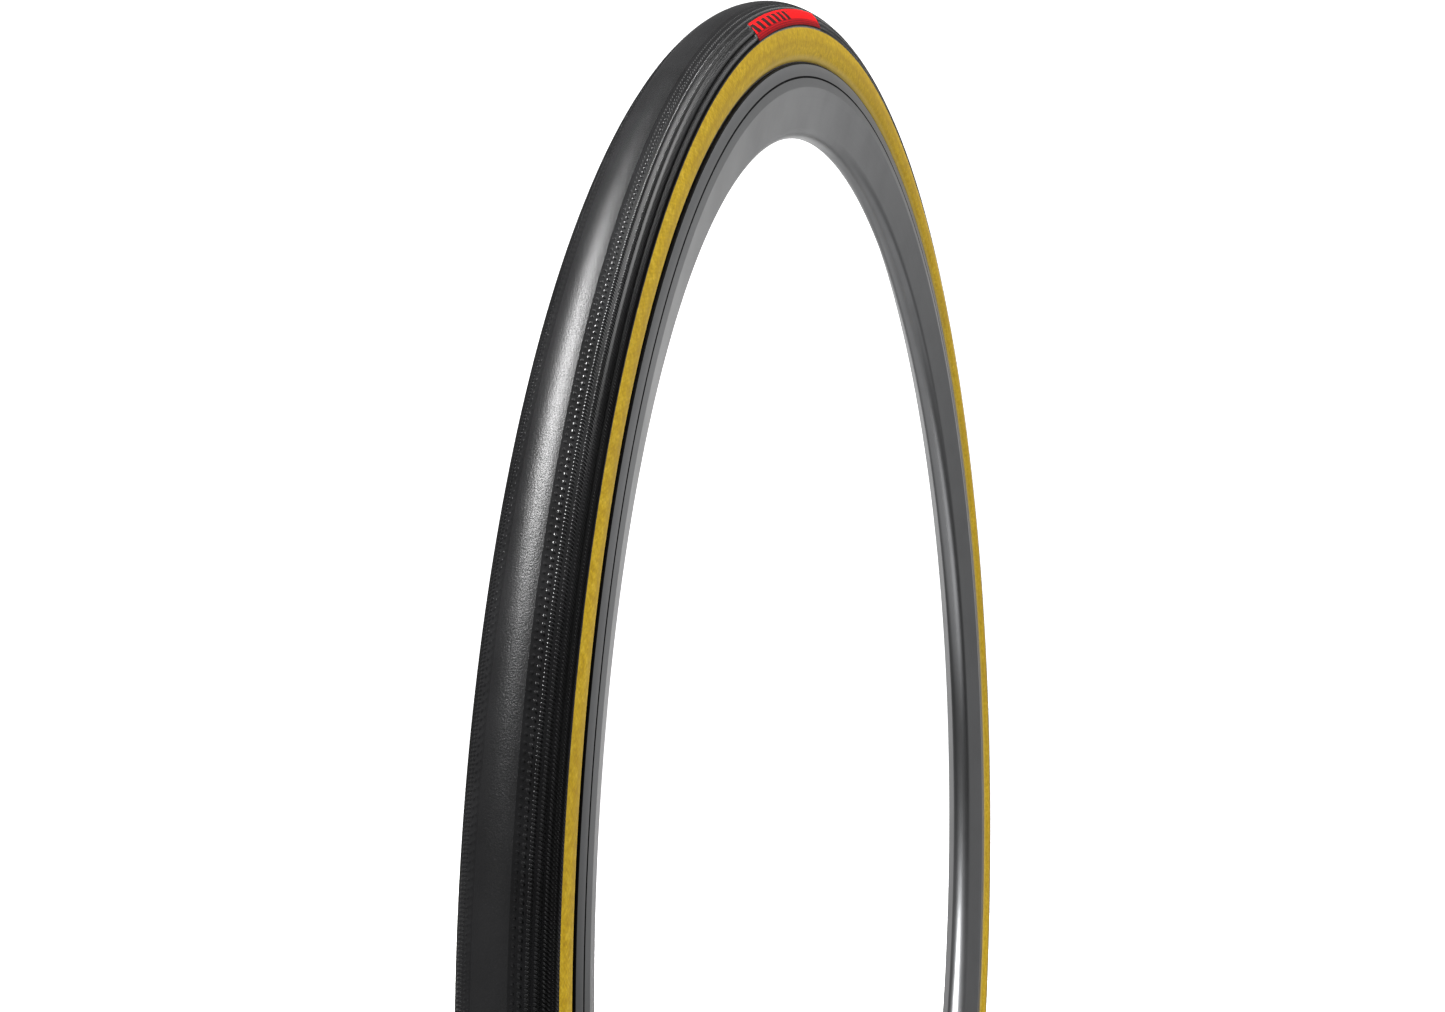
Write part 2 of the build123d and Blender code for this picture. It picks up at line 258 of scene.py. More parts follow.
class Shader(Nodes):
    """A Principled material in the making."""

    def __init__(self, name, **settings):
        self.material = bpy.data.materials.new(name)
        self.material.use_nodes = True
        super().__init__(self.material.node_tree)
        self.bsdf = self.nodes["Principled BSDF"]
        for key, value in settings.items():
            self.bsdf.inputs[key.replace("_", " ")].default_value = value
        self.coords = self.node("TexCoord").outputs["Object"]

    def scaled(self, factors):
        return self.vector_math("MULTIPLY", self.coords, factors)

    def noise(self, scale, detail=2.0, roughness=0.5, vector=None):
        node = self.node("TexNoise", Scale=scale, Detail=detail, Roughness=roughness)
        self.put(node.inputs["Vector"], vector or self.coords)
        return node.outputs["Fac"]

    def voronoi(self, scale):
        return self.node("TexVoronoi", Vector=self.coords, Scale=scale).outputs["Distance"]

    def ramp(self, source, *stops):
        """Map a value through (place, value) or (place, colour) stops."""
        node = self.node("ValToRGB", Fac=source)
        elements = node.color_ramp.elements
        while len(elements) < len(stops):
            elements.new(0.5)
        for element, (place, value) in zip(elements, stops):
            element.position = place
            colour = value if isinstance(value, tuple) else (value, value, value)
            element.color = (*colour, 1.0)
        return node.outputs["Color"]

    def mix(self, factor, a, b):
        node = self.node("Mix")
        node.data_type = "RGBA"
        sockets = [s for s in node.inputs if s.type == "RGBA"]
        self.put(node.inputs[0], factor)
        for socket, value in zip(sockets, (a, b)):
            self.put(socket, (*value, 1.0) if isinstance(value, tuple) else value)
        return [s for s in node.outputs if s.type == "RGBA"][0]

    def bump(self, height, distance):
        node = self.node("Bump", Distance=distance, Strength=1.0, Height=height)
        return node.outputs["Normal"]

    def polar(self):
        """(angle round the wheel in radians, radius, y) of the shaded point."""
        x, y, z = self.node("SeparateXYZ", Vector=self.coords).outputs
        angle = self.math("ARCTAN2", z, x)
        squares = self.add(self.mul(x, x), self.mul(z, z))
        return angle, self.math("SQRT", squares), y

    def across(self, radius, y, centre):
        """Angle from the crown about a section centre, in radians, negative on the left."""
        return self.math("ARCTAN2", y, self.sub(radius, centre))

    def vector(self, x, y, z):
        return self.fill(self.node("CombineXYZ"), x, y, z)

    def surface(self, colour, roughness, height, distance):
        """Finish the material; height is the relief, distance its full depth."""
        self.put(self.bsdf.inputs["Base Color"], colour)
        self.put(self.bsdf.inputs["Roughness"], roughness)
        self.put(self.bsdf.inputs["Normal"], self.bump(height, distance))
        return self.material


# ---------------- materials
def tinted(colour, factor):
    return tuple(factor * c for c in colour)


def rubber_material(name, base, roughness, grain=0.02 * MM):
    """Moulded tyre rubber: fine skin grain, a few dull patches."""
    s = Shader(name, Specular_IOR_Level=0.15)
    fine = s.noise(4200.0, 3.0, 0.65)
    skin = s.noise(2200.0, 3.0, 0.62)
    patches = s.noise(60.0, 3.0, 0.5)
    height = s.add(fine, s.mul(skin, 2.4))
    colour = s.ramp(patches, (0.3, tinted(base, 0.8)), (0.7, tinted(base, 1.25)))
    rough = s.add(roughness - 0.06, s.mul(skin, 0.12))
    return s.surface(colour, rough, height, grain)


COTTON_MID_ANGLE = 1.72       # radians from the casing's crown: a darker line
COTTON_HIGHLIGHT_ANGLE = 2.06       # painted highlight: paler from here to the rim, where the sidewall curves in to it


def cotton_material(name, mid_line_and_highlight=True):
    """Rubbered cotton casing: threads on the bias, blotchy ochre, darker mid line, and a painted
    highlight paler towards the rim.
    """
    s = Shader(name, Specular_IOR_Level=0.05)
    angle, radius, y = s.polar()
    across = s.across(radius, y, CASING_CENTRE)
    along = s.mul(angle, 1400.0)
    over = s.mul(across, 60.0)
    warp = s.math("SINE", s.add(along, over))
    weft = s.math("SINE", s.sub(along, over))
    weave = s.mul(s.add(warp, weft), 0.5)
    blotch = s.noise(420.0, 5.0, 0.66)
    cloud = s.noise(35.0, 3.0, 0.5)
    streak = s.noise(900.0, 3.0, 0.6)
    base = s.ramp(
        blotch,
        (0.34, (0.52, 0.325, 0.016)), (0.50, (0.67, 0.445, 0.024)), (0.66, (0.79, 0.555, 0.050)),
    )
    base = s.mix(s.ramp(streak, (0.40, 0.0), (0.66, 0.55)), base, (0.42, 0.26, 0.020))
    base = s.mix(s.ramp(cloud, (0.35, 0.35), (0.65, 0.0)), base, (0.42, 0.27, 0.04))
    side = s.math("ABSOLUTE", across)
    if mid_line_and_highlight:
        from_mid = s.math("ABSOLUTE", s.sub(side, COTTON_MID_ANGLE))
        mid = s.sub(1.0, s.mul(from_mid, 6.0), clamp=True)
        base = s.mix(s.mul(mid, 0.35), base, (0.36, 0.22, 0.022))
        # painted highlight: paler towards the rim, where the sidewall curves in to it
        past_highlight_start = s.sub(side, COTTON_HIGHLIGHT_ANGLE)
        rim_highlight = s.mul(past_highlight_start, 8.0, clamp=True)
        base = s.mix(s.mul(rim_highlight, 0.6), base, (0.74, 0.55, 0.14))
    base = s.mix(s.mul(s.add(weave, 1.0), 0.10), base, (0.25, 0.15, 0.01))
    height = s.add(s.mul(weave, 0.35), s.add(blotch, streak))
    rough = s.add(0.42, s.mul(blotch, 0.25))
    return s.surface(base, rough, height, 0.05 * MM)


WOVEN_R = 315 * MM            # where the weave's pitch round the wheel is true


def woven_material(name, base, pitch, roughness=0.75, contrast=0.45):
    """A plain weave round the wheel, for strips, tape and belts."""
    s = Shader(name, Specular_IOR_Level=0.3, Sheen_Weight=0.2)
    angle, radius, y = s.polar()
    threads_round = round(2 * math.pi * WOVEN_R / pitch)
    along = s.math("SINE", s.mul(angle, float(threads_round)))
    over = s.math("SINE", s.mul(s.add(y, radius), 2 * math.pi / pitch))
    weave = s.mul(along, over)
    fuzz = s.noise(1500.0, 3.0, 0.6)
    shade = s.add(s.mul(weave, 0.25), fuzz)
    colour = s.ramp(shade, (0.2, tinted(base, 1 - contrast)), (0.8, base))
    height = s.add(weave, s.mul(fuzz, 0.8))
    rough = s.add(roughness - 0.1, s.mul(fuzz, 0.2))
    return s.surface(colour, rough, height, 0.05 * MM)


def yarn_material(name, base):
    """Filaments that run round the wheel, for the bead cores."""
    s = Shader(name, Specular_IOR_Level=0.4, Sheen_Weight=0.3)
    angle, radius, y = s.polar()
    across = [s.mul(value, 6000.0) for value in (radius, y)]
    strand = s.noise(1.0, 3.0, 0.6, s.vector(s.mul(angle, 8.0), *across))
    colour = s.ramp(strand, (0.3, tinted(base, 0.55)), (0.7, base))
    rough = s.add(0.4, s.mul(strand, 0.2))
    return s.surface(colour, rough, strand, 0.08 * MM)


def latex_material(name):
    """Dusted pink latex, slightly translucent."""
    s = Shader(name, Specular_IOR_Level=0.35, Subsurface_Weight=0.1)
    s.bsdf.inputs["Subsurface Radius"].default_value = (0.002, 0.0008, 0.0006)
    cloud = s.noise(80.0, 4.0, 0.55)
    dust = s.noise(2500.0, 2.0, 0.6)
    colour = s.ramp(cloud, (0.3, (0.40, 0.10, 0.13)), (0.7, (0.58, 0.19, 0.22)))
    colour = s.mix(s.ramp(dust, (0.6, 0.0), (0.8, 0.25)), colour, (0.8, 0.7, 0.68))
    rough = s.add(0.5, s.mul(dust, 0.2))
    return s.surface(colour, rough, dust, 0.02 * MM)


RIM_SHADE_BAND = 0.62 * MM           # painted shade: a near-black, rougher band under the top of the flange, where the tyre's bulge shades the rim
GROOVE_SHADE = 0.13 * MM      # how far the wear groove's painted shade reaches past it


def rim_material(name):
    """Dark anodised aluminium: turned brake track, handling marks, and painted shade on the rougher
    lip and wear groove.
    """
    s = Shader(name, Metallic=1.0, Anisotropic=0.35)
    angle, radius, y = s.polar()

    def turning_marks(fineness, streaks, roughness):
        scales = ((radius, fineness), (y, fineness), (angle, streaks))
        return s.noise(1.0, 2.0, roughness, s.vector(*(s.mul(*v) for v in scales)))

    rings = turning_marks(9000.0, 1.5, 0.7)
    broad = turning_marks(1200.0, 4.0, 0.5)
    smudge = s.noise(40.0, 4.0, 0.55)
    speck = s.noise(3000.0, 2.0, 0.5)
    track = s.above(radius, TRACK_END_R)
    colour = s.ramp(rings, (0.25, (0.175, 0.177, 0.182)), (0.75, (0.225, 0.227, 0.232)))
    colour = s.mix(s.mul(track, 0.35), colour, (0.26, 0.262, 0.268))
    colour = s.mix(s.ramp(smudge, (0.45, 0.0), (0.75, 0.18)), colour, (0.12, 0.12, 0.124))
    # painted shade: the lip under the flange's top, the wear groove and its edges are coloured
    # near-black, and also made rougher
    lip = s.above(radius, RIM_TOP_R - RIM_SHADE_BAND)
    from_groove = s.math("ABSOLUTE", s.sub(radius, GROOVE_R))
    groove = s.math("LESS_THAN", from_groove, GROOVE_HALF + GROOVE_SHADE)
    shaded_and_dull = s.math("MAXIMUM", lip, groove)
    colour = s.mix(shaded_and_dull, colour, (0.006, 0.006, 0.0065))
    rough = s.add(0.27, s.mul(smudge, 0.10))
    rough = s.add(rough, s.mul(rings, 0.08))
    rough = s.add(rough, s.mul(shaded_and_dull, 0.35))
    height = s.add(s.mul(rings, 0.6), s.mul(broad, 0.5))
    height = s.add(height, s.mul(speck, 0.25))
    return s.surface(colour, rough, height, 0.006 * MM)


def metal_material(name, base, roughness):
    """Plated or bare metal with fine turning marks and small scratches."""
    s = Shader(name, Metallic=1.0)
    turned_marks = s.noise(1.0, 2.0, 0.6, s.scaled((300.0, 300.0, 9000.0)))
    stain = s.noise(250.0, 4.0, 0.6)
    colour = s.ramp(stain, (0.35, tinted(base, 0.78)), (0.65, base))
    rough = s.add(roughness - 0.05, s.mul(stain, 0.16))
    height = s.add(turned_marks, stain)
    return s.surface(colour, rough, height, 0.004 * MM)


def plastic_material(name, base):
    """Moulded plastic with a pebbled skin."""
    s = Shader(name, Specular_IOR_Level=0.45)
    pebble = s.voronoi(4000.0)
    haze = s.noise(400.0, 3.0, 0.5)
    colour = s.ramp(haze, (0.3, tinted(base, 0.8)), (0.7, tinted(base, 1.3)))
    rough = s.add(0.38, s.mul(haze, 0.15))
    return s.surface(colour, rough, pebble, 0.01 * MM)


# The label's print, in degrees: bars and foot are measured across it from LABEL_IN_ANGLE.
BARS_FROM_TURN = 114.6        # the bars fill the part of the label past this, round the wheel
BARS_IN = 4.5
FOOT_IN = 20.5
STRIPE_PITCH = 3.4
BARS_PER_TURN = 5.2           # radians of the bars' wave in a degree round the wheel
BARS_SLANT = 0.18             # and in a degree across
TURN_TO_ACROSS = 5.9 / 0.22   # millimetres in a degree round, against a degree across
OUTLINE = 1.3


def label_material(name):
    """Hot-pressed red label: field with slanted bars, striped dark foot, dark outline."""
    s = Shader(name, Specular_IOR_Level=0.02)
    angle, radius, y = s.polar()
    side = s.math("ABSOLUTE", s.across(radius, y, SECTION_CENTRE))
    degrees = s.mul(side, 180 / math.pi)
    turn = s.mul(angle, 180 / math.pi)
    worn = s.noise(700.0, 4.0, 0.65)
    field = s.ramp(worn, (0.25, (0.36, 0.003, 0.004)), (0.7, (0.46, 0.005, 0.006)))
    slant = s.add(s.mul(turn, BARS_PER_TURN), s.mul(degrees, BARS_SLANT))
    bars = s.above(s.math("SINE", slant), -0.25)
    bars = s.mul(bars, s.above(turn, BARS_FROM_TURN))
    bars = s.mul(bars, s.above(degrees, LABEL_IN_ANGLE + BARS_IN))
    foot = s.above(degrees, LABEL_IN_ANGLE + FOOT_IN)
    colour = s.mix(bars, field, (0.02, 0.008, 0.008))
    colour = s.mix(foot, colour, (0.17, 0.004, 0.007))
    wave = s.math("SINE", s.mul(degrees, 2 * math.pi / STRIPE_PITCH))
    stripe = s.mul(s.above(wave, 0.55), foot)
    colour = s.mix(stripe, colour, (0.36, 0.006, 0.008))
    from_start = s.sub(turn, LABEL_FROM)
    ends = s.math("MINIMUM", from_start, s.sub(LABEL_TO, turn))
    from_top = s.sub(degrees, LABEL_IN_ANGLE)
    edge = s.math("MINIMUM", s.mul(ends, TURN_TO_ACROSS), from_top)
    line = s.math("LESS_THAN", edge, OUTLINE)
    colour = s.mix(line, colour, (0.05, 0.004, 0.004))
    rough = s.add(0.34, s.mul(worn, 0.2))
    return s.surface(colour, rough, worn, 0.02 * MM)


TREAD = rubber_material("tread_rubber", (0.0050, 0.0050, 0.0052), 0.32, 0.034 * MM)
STUDS = rubber_material("stud_rubber", (0.0045, 0.0045, 0.0047), 0.22, 0.010 * MM)
COTTON = cotton_material("sidewall_cotton")
STRIP = woven_material("strip_fabric", (0.010, 0.010, 0.012), 0.45 * MM, 0.6)
RIM = rim_material("rim_alloy")
LABEL = label_material("label_print")
BRASS = metal_material("nickel_brass", (0.66, 0.63, 0.57), 0.26)
BARE = metal_material("bare_brass", (0.62, 0.48, 0.23), 0.3)
PLASTIC = plastic_material("cap_plastic", (0.014, 0.014, 0.015))
VALVE_RUBBER = rubber_material("valve_rubber", (0.02, 0.02, 0.021), 0.6)
SEAL_RUBBER = rubber_material("seal_rubber", (0.025, 0.024, 0.024), 0.55)
INNER_MATERIALS = {
    "puncture_belt": woven_material("belt_fabric", (0.035, 0.035, 0.04), 0.5 * MM),
    "casing_inner_ply": cotton_material("inner_cotton", mid_line_and_highlight=False),
    "bead_core_left": yarn_material("aramid_left", (0.60, 0.46, 0.14)),
    "bead_core_right": yarn_material("aramid_right", (0.60, 0.46, 0.14)),
    "inner_tube": latex_material("latex"),
    "valve_patch": VALVE_RUBBER,
    "core_gasket": SEAL_RUBBER,
    "pin_seal": SEAL_RUBBER,
    "valve_pin": BARE,
    "valve_core": BRASS,
    "nut_washer": BRASS,
    "rim_tape": woven_material("tape_cloth", (0.68, 0.66, 0.60), 0.5 * MM),
    "rim_joint_sleeve": metal_material("sleeve_alloy", (0.72, 0.72, 0.74), 0.38),
}
for node_name, node_material in INNER_MATERIALS.items():
    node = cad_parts[node_name]
    node.data.materials.clear()
    node.data.materials.append(node_material)


# ---------------- tread
PERIOD = 2 * math.pi / SEGMENTS

# One row of the shoulder pattern: from and to are angles from the crown, lean is how far the
# pattern runs on round the wheel across the row, in periods. Each stud is (middle along its
# share of the period, half width there, start and end across the row).
ROWS = [
    dict(start=20.0, end=27.3, lean=0.25, studs=[(0.50, 0.24, 0.38, 0.92)]),
    dict(start=27.3, end=35.5, lean=0.40, studs=[(0.50, 0.31, 0.20, 0.84)]),
    dict(start=35.5, end=45.0, lean=0.50, studs=[(0.50, 0.36, 0.14, 0.74)] * 2),
    dict(start=45.0, end=55.0, lean=0.70, studs=[(0.50, 0.35, 0.10, 0.78)] * 2),
    dict(start=55.0, end=67.0, lean=1.10, studs=[(0.50, 0.31, 0.05, 0.93)] * 2),
    dict(start=67.0, end=79.5, lean=1.20, studs=[(0.50, 0.31, 0.06, 0.92)] * 2),
]
CROWN_ANGLE = ROWS[0]["start"]
BEVEL_ANGLE = 77.5
UPPER_ROWS = 4                # rows in the band next to the crown; the rest are in the lower one
UPPER_UNDER_ANGLES = (45.0, 32.0)     # where each band's underside has points
LOWER_UNDER_ANGLES = (72.0, 63.0)
LINE_PLACES = (0.0, 0.5, 1.0)         # the points of one period on a plain line

# Depth of the floor between the studs, in millimetres, by angle from the crown.
FLOOR = [(20.0, 0.0), (22.0, 0.02), (24.0, 0.13), (27.5, 0.27), (34.0, 0.37), (BEVEL_ANGLE, 0.37)]
DEEPEST_FLOOR = 0.46 * MM     # points deeper than this are on the edge or the underside
DEEPEST_OUTSIDE = 0.60 * MM   # points deeper than this are on the underside
STUD_SLOPE = 42.0             # the studs' end walls
STUD_NOSE = 0.15              # share of a stud's length that widens from its upper tip
STUD_TAIL = 0.35              # and that narrows to its lower tip
LONGEST_END = 0.45            # most of the length that one end wall may take
FIELD_TURN = 0.12             # bare margin round a label, in degrees round the wheel
FIELD_ACROSS = 0.8            # and in degrees across


def tread_point(theta, phi, depth, side):
    """A point phi degrees from the crown, depth under the moulded surface."""
    phi = np.radians(phi)
    radius = SECTION_R - depth
    return on_wheel(theta, SECTION_CENTRE + radius * np.cos(phi), side * radius * np.sin(phi))


def bevel_depth(phi):
    """The tread thins to nothing between the bevel and its edge."""
    edge = math.radians(TREAD_EDGE_ANGLE)
    edge_r = SECTION_CENTRE + SECTION_R * math.cos(edge)
    casing_w = math.sqrt(CASING_R ** 2 - (edge_r - CASING_CENTRE) ** 2)
    full = SECTION_R - math.hypot(edge_r - SECTION_CENTRE, casing_w)
    share = (phi - BEVEL_ANGLE) / (TREAD_EDGE_ANGLE - BEVEL_ANGLE)
    return max(0.0, share) * full


def floor_depth(phi):
    """How far the floor between the studs lies under the crown's surface."""
    angles, depths = zip(*FLOOR)
    edge = bevel_depth(TREAD_EDGE_ANGLE)
    return float(np.interp(phi, angles + (TREAD_EDGE_ANGLE,), [d * MM for d in depths] + [edge]))


class Period:
    """Points and faces of one period of a shoulder's pattern.

    A corner of a face is (index of its point, periods to move on): 1 is the next period's.
    """

    def __init__(self):
        self.points = []      # (place along the wheel in periods, phi, depth)
        self.shared = {}      # index of each point that cells share, by its place
        self.net, self.walls, self.feet = [], [], []

    def own(self, along, phi, depth, shift):
        """A point that belongs to one stud alone."""
        self.points.append((along + shift, phi, depth))
        return len(self.points) - 1, 0

    def joined(self, along, phi, depth, shift):
        """A point that the neighbouring cells or periods use too."""
        wrap = 1 if along >= 1.0 - 1e-9 else 0
        key = (round(along - wrap, 5), round(phi, 5), round(depth / MM, 5))
        if key not in self.shared:
            self.shared[key] = len(self.points)
            self.points.append((key[0] + shift, phi, depth))
        return self.shared[key], wrap

    def line(self, phi, depth, shift):
        return [self.joined(place, phi, depth, shift) for place in LINE_PLACES]

    def cell(self, row, offset, start, width, stud):
        """One cell of a row: a stud, and the floor from its foot to the cell's corners."""
        mid, half, t0, t1 = stud
        low, high, lean = row["start"], row["end"], row["lean"]
        length = t1 - t0

        def at(place, t, make=self.own, depth_at=floor_depth):
            phi = low + (high - low) * t
            return make(start + place * width, phi, depth_at(phi), offset + lean * t)

        nose, tail = t0 + STUD_NOSE * length, t1 - STUD_TAIL * length
        foot_start = len(self.points)
        tip0, tip1 = at(mid, t0), at(mid, t1)
        left0, left1 = at(mid - half, nose), at(mid - half, tail)
        right0, right1 = at(mid + half, nose), at(mid + half, tail)
        self.feet += range(foot_start, len(self.points))
        row_width = math.radians(high - low) * SECTION_R
        run = floor_depth(high) / math.tan(math.radians(STUD_SLOPE)) / row_width
        run = min(run, LONGEST_END * length)
        top0 = at(mid, t0 + run, depth_at=bevel_depth)
        top1 = at(mid, t1 - run, depth_at=bevel_depth)
        c00, c01 = at(0.0, 0.0, self.joined), at(0.0, 1.0, self.joined)
        c10, c11 = at(1.0, 0.0, self.joined), at(1.0, 1.0, self.joined)
        if width == 1.0:
            m0, m1 = at(0.5, 0.0, self.joined), at(0.5, 1.0, self.joined)
            self.net += [(c00, m0, tip0, left0), (m0, c10, right0, tip0)]
            self.net += [(c10, c11, right1, right0), (c11, m1, tip1, right1)]
            self.net += [(m1, c01, left1, tip1), (c01, c00, left0, left1)]
        else:
            self.net += [(c00, c10, tip0), (c00, tip0, left0), (c10, right0, tip0)]
            self.net += [(c10, c11, right1, right0), (c01, c00, left0, left1)]
            self.net += [(c11, c01, tip1), (c11, tip1, right1), (c01, left1, tip1)]
        self.walls += [(tip0, top0, left0), (tip0, right0, top0)]
        self.walls += [(tip1, left1, top1), (tip1, top1, right1)]
        self.walls += [(left0, top0, top1, left1), (right0, right1, top1, top0)]

    def all_round(self, faces, size):
        """The faces with that many corners, as index arrays for every period."""
        chosen = [face for face in faces if len(face) == size]
        if not chosen:
            return np.zeros((0, size), np.int32)
        ids = np.array([[corner[0] for corner in face] for face in chosen])
        wraps = np.array([[corner[1] for corner in face] for face in chosen])
        k = np.arange(SEGMENTS)[:, None, None]
        return (((k + wraps) % SEGMENTS) * len(self.points) + ids).reshape(-1, size)


def strip_faces(one, other):
    """The two quads between two lines of three points."""
    return [(one[k], one[k + 1], other[k + 1], other[k]) for k in (0, 1)]


def shoulder_mesh(name, side, rows, offset, under_angles):
    """A patterned band of the tread: rows of small studs on a sunken floor.

    offset is how far the pattern has run on when the band begins, and under_angles are where
    its underside has points on the way back.
    """
    period = Period()
    first_phi, last_phi = rows[0]["start"], rows[-1]["end"]
    first_offset = offset
    for row in rows:
        width = 1.0 / len(row["studs"])
        for k, stud in enumerate(row["studs"]):
            period.cell(row, offset, k * width, width, stud)
        offset += row["lean"]

    # the plain edge where there is one, then the underside back to the start
    previous = period.line(last_phi, floor_depth(last_phi), offset)
    if last_phi == ROWS[-1]["end"]:
        last_phi = TREAD_EDGE_ANGLE
        current = period.line(last_phi, floor_depth(last_phi), offset)
        period.net += strip_faces(previous, current)
        previous = current
    first = period.line(first_phi, floor_depth(first_phi), first_offset)
    under = []
    for phi in under_angles:
        share = (phi - first_phi) / (last_phi - first_phi)
        shift = first_offset + (offset - first_offset) * share
        current = period.line(phi, SECTION_R - under_radius(phi), shift)
        under += strip_faces(previous, current)
        previous = current
    under += strip_faces(previous, first)

    points = np.array(period.points)
    theta = np.arange(SEGMENTS)[:, None] * PERIOD + points[None, :, 0] * PERIOD
    depth = bald_under_label(theta, points[:, 1], points[:, 2])
    verts = tread_point(theta, points[None, :, 1], depth, side).reshape(-1, 3)
    plain = period.net + under
    groups = [period.all_round(faces, size) for faces in (plain, period.walls) for size in (3, 4)]
    if side > 0:
        groups = [group[:, ::-1] for group in groups]
    obj = new_object(name, verts, groups, STUDS)

    # sharp edges: round the studs' feet and along the band's two borders
    at_foot = np.zeros(len(points), bool)
    at_foot[period.feet] = True
    outside = points[:, 2] < DEEPEST_OUTSIDE
    lines = [at_foot] + [outside & (points[:, 1] == phi) for phi in (first_phi, last_phi)]
    ends = np.zeros(len(obj.data.edges) * 2, np.int32)
    obj.data.edges.foreach_get("vertices", ends)
    ends = ends.reshape(-1, 2)
    sharp = np.zeros(len(ends), bool)
    for line in lines:
        line = np.tile(line, SEGMENTS)
        sharp |= line[ends[:, 0]] & line[ends[:, 1]]
    obj.data.edges.foreach_set("use_edge_sharp", sharp)
    return obj


def bald_under_label(theta, phi, depth):
    """Depths of all points, with no studs where a label is pressed on."""
    turn = np.degrees(np.mod(theta, 2 * math.pi))
    inside = (turn > LABEL_FROM - FIELD_TURN) & (turn < LABEL_TO + FIELD_TURN)
    inside = inside & (phi > LABEL_IN_ANGLE - FIELD_ACROSS)[None, :]
    inside = inside & (depth < DEEPEST_FLOOR)[None, :]
    bevel = np.array([bevel_depth(p) for p in phi])
    return np.where(inside, bevel[None, :], depth[None, :])


def under_radius(phi):
    """Distance from the tread's section centre to its underside at phi."""
    radius = CASING_R + (BELT_T if phi < BELT_ANGLE - 1 else 0.0)
    shift = SECTION_CENTRE - CASING_CENTRE
    a = math.radians(phi)
    return -shift * math.cos(a) + math.sqrt(radius ** 2 - (shift * math.sin(a)) ** 2)


def crown_section():
    """The smooth middle of the tread, as far as the first row of studs on each side."""
    outer = arc(SECTION_CENTRE, SECTION_R, -CROWN_ANGLE, CROWN_ANGLE, 16)
    inner = []
    for i in range(5):
        phi = CROWN_ANGLE - i * CROWN_ANGLE / 2
        r = under_radius(abs(phi))
        a = math.radians(phi)
        inner.append((SECTION_CENTRE + r * math.cos(a), r * math.sin(a)))
    return outer + inner


crown = ring_mesh("tread_crown", crown_section(), TREAD, 2 * SEGMENTS, 40.0)
bands = [crown]
upper, lower = ROWS[:UPPER_ROWS], ROWS[UPPER_ROWS:]
split = lower[0]["start"]
run_on = sum(row["lean"] for row in upper)
for side, side_name in ((-1, "left"), (1, "right")):
    under = (split, *UPPER_UNDER_ANGLES, CROWN_ANGLE)
    bands.append(shoulder_mesh(f"tread_shoulder_{side_name}", side, upper, 0.0, under))
    under = (*LOWER_UNDER_ANGLES, split)
    bands.append(shoulder_mesh(f"tread_edge_{side_name}", side, lower, run_on, under))
for piece in bands:
    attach(piece, "root")
    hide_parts("tread")


# ---------------- casing and rim strips
def carcass_half(depth, steps=40):
    """Outline of the casing from its crown down to the bead, moved in by depth."""
    radius = CASING_R - depth
    join_w = math.sqrt(CASING_R ** 2 - (WAIST_TOP_R - CASING_CENTRE) ** 2) - depth
    join = 180 - math.degrees(math.asin(join_w / radius))
    waist_w = HOOK_HALF_W - 0.15 * MM - CHAFER_T - depth
    heel_w = HEEL_HALF_W - CHAFER_T - depth
    bottom = BEAD_BASE_R + CHAFER_T + depth
    corner = 0.35 * MM
    points = arc(CASING_CENTRE, radius, 0.0, join, steps)
    points += [(WAIST_R, waist_w), (WAIST_BASE_R, waist_w + 0.10 * MM), (HEEL_TOP_R, heel_w)]
    points += [(bottom + corner, heel_w), (bottom, heel_w - corner), (bottom, TOE_HALF_W)]
    return points


def strip_section(side):
    """The thin guard round one bead, from just above the flange to the bead's toe."""
    outer = [p for p in carcass_half(-CHAFER_T) if p[0] < CHAFER_TOP_R]
    inner = [p for p in carcass_half(0.0) if p[0] < CHAFER_TOP_R]
    return [(r, side * y) for r, y in outer + inner[::-1]]


half_outside = carcass_half(0.0)
half_inside = carcass_half(PLY_T, 16)
casing_section = mirror(half_outside)[:-1] + half_outside
casing_section += half_inside[::-1] + [(r, -y) for r, y in half_inside[1:]]
casing = ring_mesh("casing_sidewall", casing_section, COTTON, CASING_SEGMENTS, 30.0)
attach(casing, "root")
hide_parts("casing_outer_ply")
for strip_side, strip_name in ((-1, "left"), (1, "right")):
    strip = ring_mesh(f"rim_guard_{strip_name}", strip_section(strip_side), STRIP, SEGMENTS, 30.0)
    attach(strip, "root")
    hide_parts(f"rim_strip_{strip_name}")


